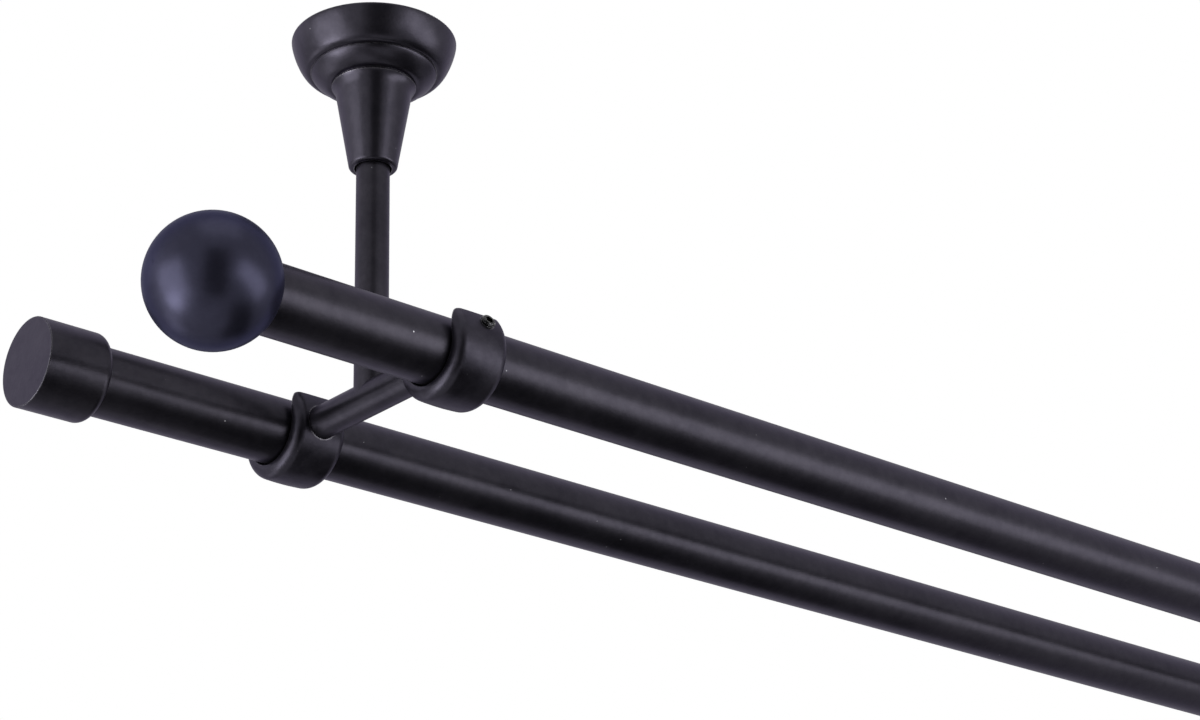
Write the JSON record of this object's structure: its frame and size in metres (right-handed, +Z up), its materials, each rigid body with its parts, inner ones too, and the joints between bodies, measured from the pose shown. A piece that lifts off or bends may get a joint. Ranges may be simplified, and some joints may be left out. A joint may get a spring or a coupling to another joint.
{
  "type": "curtain rod",
  "caption": "Ceiling-mounted double curtain rod with round poles, open ring brackets on thin stems, bell canopies, ball finials and flat end caps.",
  "frame": {"origin": "centre of the left ceiling plate's screw pattern, on the ceiling plane, over the stem's axis", "axes": "+X along the poles to the right, +Y from the front pole (with the balls) to the rear pole, +Z up to the ceiling"},
  "size_m": [1.2341, 0.1512, 0.1882],
  "materials": {
    "black_coat": "satin black powder coat",
    "blue_black_coat": "satin black coat with a slight blue cast",
    "black_steel": "blackened steel",
    "zinc_steel": "zinc-plated steel",
    "black_nylon": "moulded nylon"
  },
  "bodies": {
    "root": {"front_pole": "black_coat", "left_ball_finial": "blue_black_coat", "left_canopy": "black_coat", "left_ceiling_plate": "zinc_steel", "left_cone_socket": "black_coat", "left_cross_arm": "black_coat", "left_end_cap": "black_coat", "left_front_arm_screw": "zinc_steel", "left_front_plug": "black_nylon", "left_front_ring": "black_coat", "left_front_set_screw": "black_steel", "left_front_stud": "zinc_steel", "left_grip_screw": "black_steel", "left_rear_arm_screw": "zinc_steel", "left_rear_plug": "black_nylon", "left_rear_ring": "black_coat", "left_rear_set_screw": "black_steel", "left_rear_stud": "zinc_steel", "left_stem": "black_coat", "rear_pole": "black_coat", "right_ball_finial": "blue_black_coat", "right_canopy": "black_coat", "right_ceiling_plate": "zinc_steel", "right_cone_socket": "black_coat", "right_cross_arm": "black_coat", "right_end_cap": "black_coat", "right_front_arm_screw": "zinc_steel", "right_front_plug": "black_nylon", "right_front_ring": "black_coat", "right_front_set_screw": "black_steel", "right_front_stud": "zinc_steel", "right_grip_screw": "black_steel", "right_rear_arm_screw": "zinc_steel", "right_rear_plug": "black_nylon", "right_rear_ring": "black_coat", "right_rear_set_screw": "black_steel", "right_rear_stud": "zinc_steel", "right_stem": "black_coat"}
  },
  "joints": []
}
